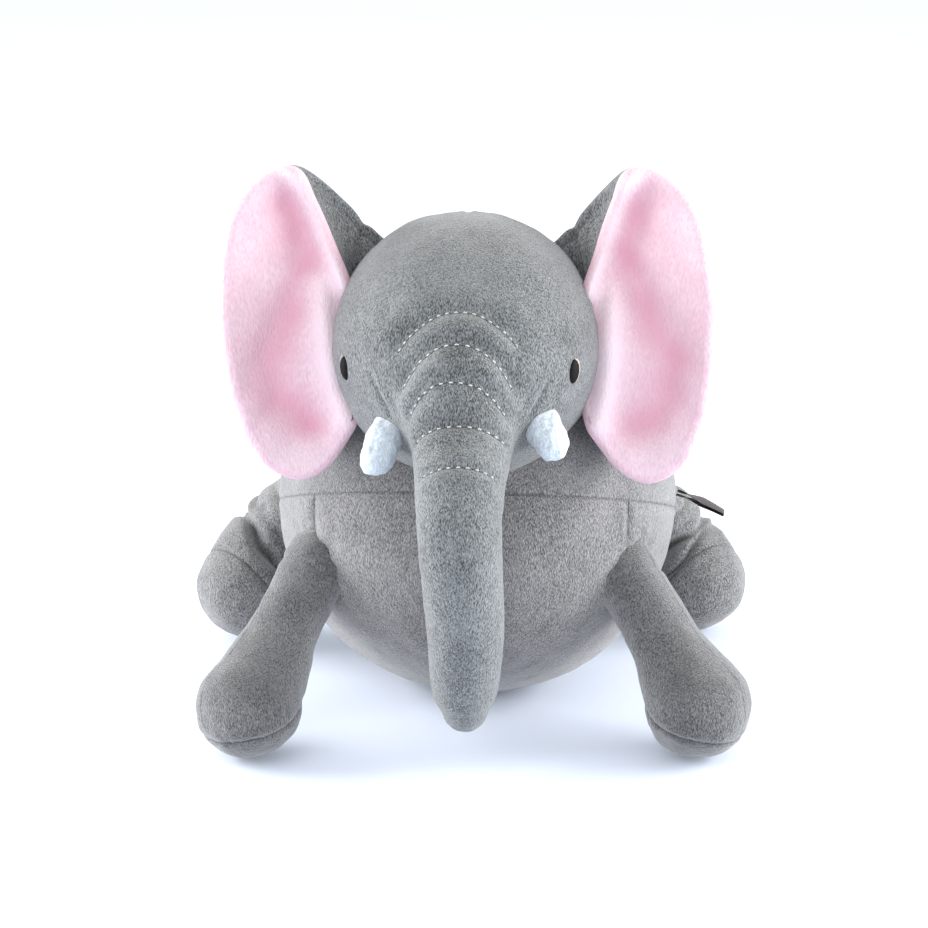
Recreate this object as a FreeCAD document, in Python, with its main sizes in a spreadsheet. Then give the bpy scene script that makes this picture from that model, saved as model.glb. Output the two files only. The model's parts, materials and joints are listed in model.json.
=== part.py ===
import FreeCAD, Part
import math
import os
from FreeCAD import Placement, Rotation, Vector

# A stuffed plush elephant that sits on its round belly, in millimetres.
# +Z is up, the face looks along -Y, and the origin is the middle of the flat
# patch that the belly rests on. Left and right are as seen from the front, so
# "left" is -X. Every stuffed form is a fabric cover, cut into its sewn panels,
# around a filling.

document = FreeCAD.newDocument("stuffed_elephant")

LENGTHS = {
    "body_radius": 84.0,  # stuffed belly ball
    "head_radius": 53.8,
    "cloth": 2.0,  # short-pile plush with its backing
    "ease": 0.3,  # room between a cover and its filling
    "joint_gap": 0.5,  # room between sewn-on limbs and the ball they swivel on
    "ear_gap": 4.2,  # room between an ear's root and the head
    "shoulder_gap": 5.0,  # room between an ear's lower end and the body
    "chest_seam_height": 77.0,  # chest seam plane where it passes x = y = 0
    "chest_seam_tilt": 23.1,  # degrees, up towards the chest
    "side_seam_offset": 63.0,  # belly panel's half width
    "seat_seam_depth": 40.0,  # belly panel meets the seat panel at this y
    "back_seam_depth": 12.0,  # neck panel meets the back panels at this y
    "ear_seam_depth": -38.0,  # face panel meets the back of the head at this y
    "chin_seam_height": 132.0,  # face panel meets the chin panel at this z
    "ear_half_width": 27.0,
    "ear_half_height": 62.5,
    "ear_cup_radius": 60.0,  # the ear is cupped forwards about its own length
    "ear_wadding": 4.0,
    "wadding_inset": 3.0,
    "ear_tilt": 14.0,  # degrees, top leans back
    "ear_yaw": 14.0,  # degrees, outer edge comes forward
    "left_ear_roll": 0.0,
    "right_ear_roll": -6.4,  # degrees, top leans towards the head
    "trunk_seam_depth": -105.0,  # top panel meets the underside panel at this y
    "trunk_clearance": 1.4,  # room for the trunk's root in the head
    "trunk_lowest": -5.0,  # degrees of trunk swing
    "trunk_highest": 25.0,
    "stitch_length": 2.1,
    "stitch_pitch": 2.9,
    "stitch_radius": 0.35,
    "stitch_lift": 0.15,  # room between a stitch and the plush
    "eye_half_width": 2.4,
    "eye_half_height": 4.6,
    "eye_pile": 0.7,
    "label_length": 21.0,
    "label_width": 16.0,
    "label_ply": 0.6,  # one thickness of the folded ribbon
    "label_droop": 18.0,  # degrees below level
}

# Centres of the balls that each form is built round: x, y, z, radius.
BALLS = {
    "trunk_a": (-1.0, -84.0, 143.0, 20.5),
    "trunk_b": (-1.0, -98.5, 135.0, 17.8),
    "trunk_c": (-1.0, -112.0, 124.5, 16.2),
    "trunk_d": (-0.5, -116.5, 107.0, 15.6),
    "trunk_e": (0.4, -113.0, 80.0, 15.0),
    "trunk_f": (0.8, -108.0, 57.0, 14.4),
    "trunk_g": (0.8, -103.0, 34.0, 13.4),
    "tusk_left_a": (-29.5, -83.0, 139.0, 7.7),
    "tusk_left_b": (-33.5, -96.0, 130.0, 7.2),
    "tusk_right_a": (28.5, -80.0, 141.0, 7.7),
    "tusk_right_b": (33.0, -92.5, 134.5, 7.2),
    "front_leg_left_a": (-62.5, -52.5, 71.0, 11.8),
    "front_leg_left_b": (-75.5, -71.0, 44.0, 13.9),
    "front_leg_left_c": (-86.5, -86.5, 21.7, 21.7),
    "front_leg_right_a": (65.5, -48.0, 70.0, 11.8),
    "front_leg_right_b": (80.0, -63.0, 44.0, 13.9),
    "front_leg_right_c": (92.0, -76.0, 22.0, 22.0),
    "hind_leg_left_a": (-68.0, 38.0, 68.0, 15.5),
    "hind_leg_left_b": (-93.0, 42.0, 49.0, 16.0),
    "hind_leg_left_c": (-104.0, 30.0, 23.0, 23.0),
    "hind_leg_right_a": (62.0, 48.0, 68.0, 15.5),
    "hind_leg_right_b": (84.0, 60.0, 47.0, 16.0),
    "hind_leg_right_c": (95.0, 51.0, 22.5, 22.5),
    "tail_a": (0.0, 86.0, 82.0, 4.6),
    "tail_b": (0.0, 96.5, 64.0, 4.1),
    "tail_c": (0.0, 97.5, 46.0, 3.9),
    "tuft_a": (0.0, 97.5, 40.0, 5.4),
    "tuft_b": (0.0, 96.0, 30.0, 3.0),
}

POINTS = {
    "body": (0.0, 0.0, 82.0),
    "head": (-2.0, -50.0, 162.0),
    "ear_left": (-71.5, -54.0, 171.0),
    "ear_right": (69.5, -52.0, 172.0),
    "label": (84.6, 4.0, 82.6),
}

CONE_SHARE = 0.985  # a limb's cones are this share of its balls, so faces cross cleanly
FAR = 800.0  # far longer than the whole toy
SOCKET_STEPS = 3  # the socket is the room of the trunk's root at this many swings and one
# Each topstitch row on the forehead: degrees above level on the head, and stitches.
FOREHEAD_ROWS = ((36.5, 17), (21.0, 15), (5.0, 14))
# Each one on the trunk: the balls it lies between, how far along, and stitches.
TRUNK_ROWS = (("trunk_b", "trunk_c", 0.15, 11), ("trunk_c", "trunk_d", 0.0, 9))
# Which way each foot's round sole faces, and how far its seam is from the foot's
# middle as a share of the foot's radius.
SOLES = {
    "front_leg_left": ((0.22, 0.08, -0.95), 0.25),
    "front_leg_right": ((-0.22, 0.08, -0.95), 0.25),
    "hind_leg_left": ((-0.6, -0.7, -0.4), 0.05),
    "hind_leg_right": ((0.6, -0.7, -0.4), 0.05),
}

sheet = document.addObject("Spreadsheet::Sheet", "Sizes")


def fill_sheet():
    """One named cell for each length, centre coordinate and ball radius."""
    cells = dict(LENGTHS)
    for name, (x, y, z, radius) in BALLS.items():
        cells |= {f"{name}_x": x, f"{name}_y": y, f"{name}_z": z, f"{name}_radius": radius}
    for name, (x, y, z) in POINTS.items():
        cells |= {f"{name}_x": x, f"{name}_y": y, f"{name}_z": z}
    for row, (alias, number) in enumerate(cells.items(), start=1):
        sheet.set(f"A{row}", alias)
        sheet.set(f"B{row}", str(number))
        sheet.setAlias(f"B{row}", alias)
    document.recompute()


fill_sheet()


def size(alias):
    return float(sheet.get(alias))


def at(name):
    return Vector(size(f"{name}_x"), size(f"{name}_y"), size(f"{name}_z"))


def bind(shape, **expressions):
    """Binds each property to an expression over the sheet's cells."""
    for key, text in expressions.items():
        shape.setExpression(key, text)
    return shape


def name_piece(shape, label):
    shape.Label = label
    return shape


# ---- primitives and booleans, all bound to the sheet ----


def sphere(name, centre, radius):
    shape = document.addObject("Part::Sphere", name)
    bind(shape, Radius=radius)
    for axis in "xyz":
        shape.setExpression(f"Placement.Base.{axis}", f"Sizes.{centre}_{axis}")
    return shape


def cone(name, start, end, start_radius, end_radius):
    """A cone from one ball's centre to the next one's."""
    squares = (f"(Sizes.{end}_{axis} - Sizes.{start}_{axis})^2" for axis in "xyz")
    shape = document.addObject("Part::Cone", name)
    bind(
        shape,
        Radius1=f"({start_radius}) * {CONE_SHARE}",
        Radius2=f"({end_radius}) * {CONE_SHARE}",
        Height=f"sqrt({' + '.join(squares)})",
    )
    turn = Rotation(Vector(0, 0, 1), at(end) - at(start))
    shape.Placement = Placement(at(start), turn)
    return shape


def fuse(name, shapes):
    result = document.addObject("Part::MultiFuse", name)
    result.Shapes = shapes
    return result


def cut(name, base, tool):
    result = document.addObject("Part::Cut", name)
    result.Base, result.Tool = base, tool
    return result


def common(name, shapes):
    result = document.addObject("Part::MultiCommon", name)
    result.Shapes = shapes
    return result


def half_space(name, point, direction):
    """A large box that fills one side of a plane: it starts at point and runs along direction."""
    box = document.addObject("Part::Box", name)
    box.Length = box.Width = box.Height = FAR
    turn = Rotation(Vector(0, 0, 1), Vector(*direction))
    corner = Vector(*point) - turn.multVec(Vector(FAR / 2, FAR / 2, 0))
    box.Placement = Placement(corner, turn)
    return box


def chain(name, balls, inset="0"):
    """A limb as a solid: balls joined by cones, all smaller by the inset."""
    solids = []
    for ball in balls:
        solids.append(sphere(f"{name}_{ball}_ball", ball, f"Sizes.{ball}_radius - ({inset})"))
    for start, end in zip(balls, balls[1:]):
        radii = [f"Sizes.{ball}_radius - ({inset})" for ball in (start, end)]
        solids.append(cone(f"{name}_{end}_cone", start, end, *radii))
    return fuse(name, solids)


FILLING_INSET = "Sizes.cloth + Sizes.ease"


# ---- trunk ----

TRUNK = [f"trunk_{letter}" for letter in "abcdefg"]


def build_trunk():
    """Top panel, underside panel and filling of the curved, tapering trunk."""
    outer = chain("trunk_form", TRUNK)
    cover = cut("trunk_cover", outer, chain("trunk_hollow", TRUNK, "Sizes.cloth"))
    filling = chain("trunk_filling", TRUNK, FILLING_INSET)
    front = half_space("trunk_front_side", (0, size("trunk_seam_depth"), 0), (0, -1, 0))
    bind(front, **{"Placement.Base.y": "Sizes.trunk_seam_depth"})
    panels = [
        common("trunk_top_panel", [cover, front]),
        cut("trunk_underside_panel", cover, front),
    ]
    return [name_piece(piece, piece.Name) for piece in (*panels, filling)]


def turned_about_trunk_root(base, degrees, name):
    """A copy of the trunk's upper end, swung about its hinge."""
    link = document.addObject("Part::Feature", name)
    shape = base.Shape.copy()
    shape.rotate(at("trunk_a"), Vector(-1, 0, 0), degrees)
    link.Shape = shape
    return link


def trunk_socket():
    """The room that the trunk's root sweeps through inside the head."""
    root = chain("trunk_root_room", TRUNK[:3], "-Sizes.trunk_clearance")
    document.recompute()
    lowest, highest = size("trunk_lowest"), size("trunk_highest")
    swings = [
        lowest + (highest - lowest) * step / SOCKET_STEPS for step in range(SOCKET_STEPS + 1)
    ]
    rooms = [
        turned_about_trunk_root(root, swing, f"trunk_room_{index}")
        for index, swing in enumerate(swings)
    ]
    return fuse("trunk_socket", rooms)


# ---- head ----


def build_head():
    """Face, chin and back panels round the head's filling, with eyes, tusks and topstitching."""
    socket = trunk_socket()
    outer = sphere("head_form", "head", "Sizes.head_radius")
    hollow = sphere("head_hollow", "head", "Sizes.head_radius - Sizes.cloth")
    cover = cut("head_cover", cut("head_shell", outer, hollow), socket)
    core = sphere("head_core", "head", f"Sizes.head_radius - ({FILLING_INSET})")
    filling = cut("head_filling", core, socket)

    front = half_space("head_front", (0, size("ear_seam_depth"), 0), (0, -1, 0))
    bind(front, **{"Placement.Base.y": "Sizes.ear_seam_depth"})
    below = half_space("head_below", (0, 0, size("chin_seam_height")), (0, 0, -1))
    bind(below, **{"Placement.Base.z": "Sizes.chin_seam_height"})
    left = half_space("left_of_head", (size("head_x"), 0, 0), (-1, 0, 0))
    face_and_chin = common("face_and_chin", [cover, front])
    back = cut("head_back", cover, front)
    pieces = [
        cut("face_panel", face_and_chin, below),
        common("chin_panel", [face_and_chin, below]),
        common("head_back_panel_left", [back, left]),
        cut("head_back_panel_right", back, left),
        filling,
    ]
    return [name_piece(piece, piece.Name) for piece in pieces]


def build_tusk(side):
    """A short stuffed horn: white cover and filling, trimmed where it is sewn to the face."""
    balls = [f"tusk_{side}_a", f"tusk_{side}_b"]
    face = sphere(f"tusk_{side}_root_ball", "head", "Sizes.head_radius")
    outer = chain(f"tusk_{side}_form", balls)
    hollow = chain(f"tusk_{side}_hollow", balls, "Sizes.cloth")
    core = chain(f"tusk_{side}_core", balls, FILLING_INSET)
    cover = cut(f"tusk_{side}_cover", cut(f"tusk_{side}_shell", outer, hollow), face)
    filling = cut(f"tusk_{side}_filling", core, face)
    return [name_piece(piece, piece.Name) for piece in (cover, filling)]


EYE_AZIMUTH, EYE_DROP = 60.0, 6.0  # degrees from straight ahead, and below level


def build_eye(side, sign):
    """An embroidered oval that stands on the face."""
    pitch, yaw = math.radians(EYE_DROP), math.radians(EYE_AZIMUTH)
    level = math.cos(pitch)
    outward = Vector(sign * math.sin(yaw) * level, -math.cos(yaw) * level, -math.sin(pitch))
    post = document.addObject("Part::Ellipse", f"eye_{side}_outline")
    bind(post, MajorRadius="Sizes.eye_half_height", MinorRadius="Sizes.eye_half_width")
    upright = (Vector(0, 0, 1) - outward * outward.z).normalize()
    turn = Rotation(upright, outward.cross(upright), outward, "ZXY")
    post.Placement = Placement(at("head"), turn)
    column = document.addObject("Part::Extrusion", f"eye_{side}_column")
    column.Base, column.DirMode, column.Solid = post, "Normal", True
    bind(column, LengthFwd="Sizes.head_radius + 10")
    raised = sphere(f"eye_{side}_raised", "head", "Sizes.head_radius + Sizes.eye_pile")
    face = sphere(f"eye_{side}_face", "head", "Sizes.head_radius")
    pile = cut(f"eye_{side}_pile", raised, face)
    return name_piece(common(f"eye_{side}", [column, pile]), f"eye_{side}")


# ---- topstitching ----


def stitch_row(centre, across, outward, radius, count):
    """Short round stitches end to end along an arc that bulges towards outward."""
    solids = []
    step = size("stitch_pitch") / radius
    for index in range(count):
        angle = (index - (count - 1) / 2) * step
        spoke = outward * math.cos(angle) + across * math.sin(angle)
        along = across * math.cos(angle) - outward * math.sin(angle)
        start = centre + spoke * radius - along * (size("stitch_length") / 2)
        solids.append(
            Part.makeCylinder(size("stitch_radius"), size("stitch_length"), start, along)
        )
    return solids


def stitches(name, rows):
    solids = [solid for row in rows for solid in stitch_row(*row)]
    group = document.addObject("Part::Feature", name)
    group.Shape = Part.makeCompound(solids)
    group.Placement = Placement()
    return name_piece(group, name)


def build_topstitching():
    """Three rows on the forehead and two on the trunk, each an arc over its top."""
    lift = size("stitch_radius") + size("stitch_lift")
    across = Vector(1, 0, 0)
    forehead = []
    for elevation, count in FOREHEAD_ROWS:
        angle = math.radians(elevation)
        outward = Vector(0, -math.cos(angle), math.sin(angle))
        radius = size("head_radius") + lift
        forehead.append((at("head"), across, outward, radius, count))
    trunk = []
    for start, end, share, count in TRUNK_ROWS:
        run = at(end) - at(start)
        centre = at(start) + run * share
        radius = size(f"{start}_radius") + share * (
            size(f"{end}_radius") - size(f"{start}_radius")
        )
        outward = run.cross(across).normalize()
        trunk.append((centre, across, outward, radius + lift, count))
    return [stitches("forehead_topstitching", forehead), stitches("trunk_topstitching", trunk)]


# ---- ears ----


def ear_turn(side, sign):
    """Local X runs across the ear, Y up its length and Z out of its pink front."""
    yaw = Rotation(Vector(0, 0, 1), -sign * size("ear_yaw"))
    tilt = Rotation(Vector(1, 0, 0), -size("ear_tilt"))
    roll = Rotation(Vector(0, 1, 0), size(f"{side}_ear_roll"))
    stand = Rotation(Vector(1, 0, 0), 90)
    return yaw.multiply(roll).multiply(tilt).multiply(stand)


def ear_layer(name, side, sign, inner, outer, inset):
    """One layer of the cupped ear, between two radii of the cup."""
    turn = ear_turn(side, sign)
    centre = at(f"ear_{side}")
    outline = document.addObject("Part::Ellipse", f"{name}_outline")
    bind(
        outline,
        MajorRadius=f"Sizes.ear_half_height - ({inset})",
        MinorRadius=f"Sizes.ear_half_width - ({inset})",
    )
    outline.Placement = Placement(centre, turn.multiply(Rotation(Vector(0, 0, 1), 90)))
    prism = document.addObject("Part::Extrusion", f"{name}_prism")
    prism.Base, prism.DirMode, prism.Solid, prism.Symmetric = outline, "Normal", True, True
    bind(prism, LengthFwd="Sizes.ear_cup_radius")
    shells = []
    for part, radius in (("outer", outer), ("inner", inner)):
        cylinder = document.addObject("Part::Cylinder", f"{name}_{part}")
        bind(cylinder, Radius=radius, Height=f"{FAR}")
        axis_turn = turn.multiply(Rotation(Vector(1, 0, 0), -90))
        foot = Vector(0, -FAR / 2, size("ear_cup_radius"))
        cylinder.Placement = Placement(centre + turn.multVec(foot), axis_turn)
        shells.append(cylinder)
    shell = cut(f"{name}_shell", *shells)
    near_head = sphere(f"{name}_head_room", "head", "Sizes.head_radius + Sizes.ear_gap")
    shoulder = sphere(f"{name}_shoulder_room", "body", "Sizes.body_radius + Sizes.shoulder_gap")
    layer = common(f"{name}_layer", [prism, shell])
    clear = cut(f"{name}_clear_of_head", layer, near_head)
    return name_piece(cut(name, clear, shoulder), name)


def build_ear(side, sign):
    """Pink front, thin wadding and grey back."""
    cup, half = "Sizes.ear_cup_radius", "Sizes.ear_wadding / 2"
    front = (f"{cup} - {half} - Sizes.cloth", f"{cup} - {half}", "0")
    wadding = (f"{cup} - {half}", f"{cup} + {half}", "Sizes.wadding_inset")
    back = (f"{cup} + {half}", f"{cup} + {half} + Sizes.cloth", "0")
    layers = (("front", front), ("wadding", wadding), ("back", back))
    return [ear_layer(f"ear_{side}_{part}", side, sign, *limits) for part, limits in layers]


# ---- legs ----


def build_leg(name):
    """Inner and outer panels, round sole and filling, trimmed where the leg meets the ball."""
    balls = [f"{name}_{letter}" for letter in "abc"]
    knee, foot = at(balls[1]), at(balls[2])
    run = (foot - knee).normalize()
    ball = sphere(f"{name}_room", "body", "Sizes.body_radius + Sizes.joint_gap")
    outer, hollow = chain(f"{name}_form", balls), chain(f"{name}_hollow", balls, "Sizes.cloth")
    cover = cut(f"{name}_cover", cut(f"{name}_shell", outer, hollow), ball)
    filling = cut(f"{name}_filling", chain(f"{name}_core", balls, FILLING_INSET), ball)
    sole_direction, sole_share = SOLES[name]
    sole_normal = Vector(*sole_direction).normalize()
    seam_point = foot + sole_normal * (sole_share * size(f"{balls[2]}_radius"))
    past_sole_seam = half_space(f"{name}_past_sole_seam", seam_point, sole_normal)
    upper = cut(f"{name}_upper", cover, past_sole_seam)
    outward = at(balls[0]) - at("body")
    side_normal = run.cross(outward).cross(run)
    outer_side = half_space(f"{name}_outer_side", knee, side_normal)
    pieces = [
        common(f"{name}_outer_panel", [upper, outer_side]),
        cut(f"{name}_inner_panel", upper, outer_side),
        common(f"{name}_sole", [cover, past_sole_seam]),
        filling,
    ]
    return [name_piece(piece, piece.Name) for piece in pieces]


# ---- body ----


def build_body():
    """Neck, back, belly, seat and side panels round the ball's filling."""
    neck_room = sphere("neck_room", "head", "Sizes.head_radius + Sizes.joint_gap")
    floor = half_space("under_the_floor", (0, 0, 0), (0, 0, -1))
    above_lining = half_space("under_the_lining", (0, 0, size("cloth")), (0, 0, -1))
    ball = cut("body_ball", sphere("body_form", "body", "Sizes.body_radius"), floor)
    hollow_ball = sphere("body_hollow_ball", "body", "Sizes.body_radius - Sizes.cloth")
    hollow = cut("body_hollow", hollow_ball, above_lining)
    cover = cut("body_cover", cut("body_shell", ball, hollow), neck_room)
    core_ball = sphere("body_core_ball", "body", f"Sizes.body_radius - ({FILLING_INSET})")
    under_core = half_space("under_the_core", (0, 0, size("cloth") + size("ease")), (0, 0, -1))
    neck_lining = sphere("neck_lining", "head", "Sizes.head_radius + Sizes.joint_gap")
    core = cut("body_core", core_ball, under_core)
    filling = cut("body_filling", core, neck_lining)

    tilt = math.radians(size("chest_seam_tilt"))
    upward = (0, math.sin(tilt), math.cos(tilt))
    above = half_space("above_chest_seam", (0, 0, size("chest_seam_height")), upward)
    upper, lower = common("upper_cover", [cover, above]), cut("lower_cover", cover, above)
    behind = half_space("behind_neck_panel", (0, size("back_seam_depth"), 0), (0, 1, 0))
    bind(behind, **{"Placement.Base.y": "Sizes.back_seam_depth"})
    left = half_space("left_of_back_seam", (0, 0, 0), (-1, 0, 0))
    back = common("back_cover", [upper, behind])

    offset = size("side_seam_offset")
    left_side = half_space("past_left_side_seam", (-offset, 0, 0), (-1, 0, 0))
    right_side = half_space("past_right_side_seam", (offset, 0, 0), (1, 0, 0))
    bind(left_side, **{"Placement.Base.x": "-Sizes.side_seam_offset"})
    bind(right_side, **{"Placement.Base.x": "Sizes.side_seam_offset"})
    both_sides = fuse("past_side_seams", [left_side, right_side])
    middle = cut("belly_and_seat", lower, both_sides)
    seat_side = half_space("past_seat_seam", (0, size("seat_seam_depth"), 0), (0, 1, 0))
    bind(seat_side, **{"Placement.Base.y": "Sizes.seat_seam_depth"})
    pieces = [
        cut("neck_panel", upper, behind),
        common("back_panel_left", [back, left]),
        cut("back_panel_right", back, left),
        cut("belly_panel", middle, seat_side),
        common("seat_panel", [middle, seat_side]),
        common("side_panel_left", [lower, left_side]),
        common("side_panel_right", [lower, right_side]),
        filling,
    ]
    return [name_piece(piece, piece.Name) for piece in pieces]


def build_label():
    """A plain ribbon folded in two, caught in the seam on one side."""
    fold = "2 * Sizes.label_ply + 0.2"
    loop = document.addObject("Part::Box", "label_loop")
    bind(loop, Length="Sizes.label_length", Width="Sizes.label_width", Height=fold)
    slot = document.addObject("Part::Box", "label_slot")
    bind(slot, Length="Sizes.label_length - Sizes.label_ply", Width="Sizes.label_width", Height="0.2")
    along_seam = Rotation(Vector(1, 0, 0), -size("chest_seam_tilt"))
    lie = along_seam.multiply(Rotation(Vector(0, 1, 0), size("label_droop")))
    corner = at("label") - lie.multVec(Vector(0, size("label_width") / 2, 0))
    loop.Placement = Placement(corner, lie)
    slot.Placement = Placement(corner + lie.multVec(Vector(0, 0, size("label_ply"))), lie)
    return [name_piece(cut("side_label", loop, slot), "side_label")]


def build_tail():
    """A thin sewn tail with a short tuft, which swings about the ball's own middle line."""
    ball = sphere("tail_room", "body", "Sizes.body_radius + Sizes.joint_gap")
    rope = chain("tail_rope", ["tail_a", "tail_b", "tail_c"])
    tuft = chain("tail_tuft_form", ["tuft_a", "tuft_b"])
    tail = cut("tail", rope, ball)
    tail_tuft = cut("tail_tuft", tuft, rope)
    return [name_piece(tail, "tail"), name_piece(tail_tuft, "tail_tuft")]


# ---- the whole toy ----


def build_toy():
    pieces = build_body() + build_head() + build_trunk() + build_topstitching()
    for side, sign in (("left", -1), ("right", 1)):
        pieces += build_tusk(side) + build_ear(side, sign) + [build_eye(side, sign)]
        pieces += build_leg(f"front_leg_{side}") + build_leg(f"hind_leg_{side}")
    return pieces + build_label() + build_tail()


def check(pieces):
    """Stops if anything in the document failed, or a piece has no valid solid."""
    for item in document.Objects:
        if {"Invalid", "Error"} & set(item.State):
            raise RuntimeError(f"{item.Name} failed to compute")
    for piece in pieces:
        if piece.Shape.isNull() or not piece.Shape.isValid() or not piece.Shape.Solids:
            raise RuntimeError(f"{piece.Label} has no valid solid")


def main():
    pieces = build_toy()
    document.recompute()
    check(pieces)
    os.makedirs("parts", exist_ok=True)
    for piece in pieces:
        piece.Shape.exportStep(f"parts/{piece.Label}.step")
    print(len(pieces), "pieces")


main()
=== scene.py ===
"""Looks of the stuffed elephant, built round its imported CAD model.

Lengths in this file are millimetres until a mesh is made, which is in metres. The face
looks along -Y, and "left" is -X, the left of a viewer who faces the toy.
"""
import json
import math

import bmesh
import bpy
import numpy as np
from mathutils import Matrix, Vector
from mathutils.bvhtree import BVHTree

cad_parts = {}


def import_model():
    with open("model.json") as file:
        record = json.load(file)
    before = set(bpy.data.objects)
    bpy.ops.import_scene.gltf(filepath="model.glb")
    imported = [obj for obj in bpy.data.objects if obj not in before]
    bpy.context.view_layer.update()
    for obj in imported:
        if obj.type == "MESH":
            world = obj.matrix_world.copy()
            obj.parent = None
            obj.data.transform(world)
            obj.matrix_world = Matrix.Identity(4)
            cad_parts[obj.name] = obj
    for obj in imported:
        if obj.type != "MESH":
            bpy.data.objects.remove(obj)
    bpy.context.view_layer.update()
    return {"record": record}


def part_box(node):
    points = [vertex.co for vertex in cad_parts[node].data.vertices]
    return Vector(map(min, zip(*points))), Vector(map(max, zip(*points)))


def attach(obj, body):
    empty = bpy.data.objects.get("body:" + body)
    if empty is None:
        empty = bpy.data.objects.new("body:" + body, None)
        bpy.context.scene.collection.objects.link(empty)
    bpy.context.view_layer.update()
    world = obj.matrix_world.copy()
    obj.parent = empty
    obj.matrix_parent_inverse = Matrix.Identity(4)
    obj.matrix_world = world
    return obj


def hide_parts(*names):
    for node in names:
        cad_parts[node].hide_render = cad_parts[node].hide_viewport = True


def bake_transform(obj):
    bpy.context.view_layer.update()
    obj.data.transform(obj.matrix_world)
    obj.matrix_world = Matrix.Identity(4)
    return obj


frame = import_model()
MM = 0.001
SIDES = (("left", -1), ("right", 1))

# ---- places, from the frame ----


def joint_place(name):
    """Where a joint turns, in millimetres."""
    joints = frame["record"]["behaviour"]["joints"]
    return np.array(next(j for j in joints if j["name"] == name)["pos_m"]) / MM


def box(node):
    """Lowest and highest corner of a CAD node, in millimetres."""
    low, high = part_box(node)
    return np.array(low) / MM, np.array(high) / MM


BALL_RADIUS = 84.0
BALL = np.array([0.0, 0.0, box("back_panel_left")[1][2] - BALL_RADIUS])
HEAD = joint_place("head_nod")
HEAD_RADIUS = 53.8
TRUNK_ROOT = joint_place("trunk_swing")
CLOTH = 1.6  # thickness of a panel with its backing

# The chest seam's plane: its height over the middle of the ball, and how far it leans back.
CHEST_SEAM_HEIGHT, CHEST_SEAM_TILT = 77.0, math.radians(23.1)
SIDE_SEAM = 63.0  # x of the seams between the belly and side panels
SEAT_SEAM, NECK_SEAM, EAR_SEAM = 40.0, 12.0, -38.0  # y of the seams across the toy


def unit(v):
    v = np.array(v, float)
    return v / np.linalg.norm(v)


def unit_rows(v):
    return v / np.linalg.norm(v, axis=1)[:, None]


# ---- mesh helpers ----


def add_object(name, mesh):
    obj = bpy.data.objects.new(name, mesh)
    bpy.context.scene.collection.objects.link(obj)
    return obj


def make(name, vertices, faces):
    """A new object from points in millimetres."""
    mesh = bpy.data.meshes.new(name)
    mesh.from_pydata((np.array(vertices, float) * MM).tolist(), [], faces)
    mesh.validate()
    return add_object(name, mesh)


def from_bmesh(name, bm):
    """A new object from a bmesh, which is freed."""
    mesh = bpy.data.meshes.new(name)
    bm.to_mesh(mesh)
    bm.free()
    return add_object(name, mesh)


def read(obj):
    co = np.empty(len(obj.data.vertices) * 3)
    obj.data.vertices.foreach_get("co", co)
    return co.reshape(-1, 3) / MM


def write(obj, co):
    obj.data.vertices.foreach_set("co", (co * MM).ravel())
    obj.data.update()


def normals(obj):
    out = np.empty(len(obj.data.vertices) * 3)
    obj.data.vertex_normals.foreach_get("vector", out)
    return out.reshape(-1, 3)


def bake(obj):
    """Applies the object's modifiers to its mesh."""
    graph = bpy.context.evaluated_depsgraph_get()
    mesh = bpy.data.meshes.new_from_object(obj.evaluated_get(graph))
    obj.modifiers.clear()
    obj.data = mesh
    return obj


def thicken(obj, thickness, offset=-1):
    """Gives a surface its thickness, inward unless offset says otherwise."""
    solidify = obj.modifiers.new("Thickness", "SOLIDIFY")
    solidify.thickness, solidify.offset = thickness * MM, offset
    bake(obj)


def dress(obj, material):
    """Smooth shading and one material."""
    obj.data.polygons.foreach_set("use_smooth", [True] * len(obj.data.polygons))
    obj.data.update()
    obj.data.materials.clear()
    obj.data.materials.append(material)


def refine(obj, levels):
    modifier = obj.modifiers.new("Subdivision", "SUBSURF")
    modifier.levels = modifier.render_levels = levels
    return bake(obj)


def remesh(obj, voxel):
    modifier = obj.modifiers.new("Remesh", "REMESH")
    modifier.mode, modifier.voxel_size = "VOXEL", voxel * MM
    return bake(obj)


def lumps(co, length, seed):
    """Smooth noise between about -1 and 1 whose lumps are roughly that long."""
    random = np.random.default_rng(seed)
    total = np.zeros(len(co))
    waves = 14
    for _ in range(waves):
        direction = unit(random.normal(size=3)) / (length * random.uniform(1.4, 2.6))
        total += np.sin(2 * np.pi * (co @ direction) + random.uniform(0, 2 * np.pi))
    return total / math.sqrt(waves)


def bump(distance, width):
    return np.exp(-((distance / width) ** 2))


def ease(x):
    x = np.clip(x, 0, 1)
    return x * x * (3 - 2 * x)


def cubic(p, slope, i, j, f):
    """Points a share f of the way from points i to points j, on a smooth curve."""
    first = (2 * f**3 - 3 * f**2 + 1) * p[i] + (f**3 - 2 * f**2 + f) * slope[i]
    return first + (3 * f**2 - 2 * f**3) * p[j] + (f**3 - f**2) * slope[j]


def spline(points, count):
    """Evenly counted points on a smooth curve through the given ones."""
    p = np.array(points, float)
    slope = np.gradient(p, axis=0)
    t = np.linspace(0, len(p) - 1 - 1e-9, count)
    i = t.astype(int)
    return cubic(p, slope, i, i + 1, (t - i)[:, None])


def closed_spline(points, count):
    """The same, on a closed curve."""
    p = np.array(points, float)
    slope = (np.roll(p, -1, axis=0) - np.roll(p, 1, axis=0)) / 2
    t = np.arange(count) * len(p) / count
    i = t.astype(int)
    return cubic(p, slope, i, (i + 1) % len(p), (t - i)[:, None])


def ring_faces(rows, around, first=0, flip=False):
    """Quads between rings of points. flip turns them to face the other way."""
    faces = []
    for row in range(rows - 1):
        for index in range(around):
            a, b = row * around + index + first, row * around + (index + 1) % around + first
            quad = (a, a + around, b + around, b) if flip else (a, b, b + around, a + around)
            faces.append(quad)
    return faces


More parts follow.
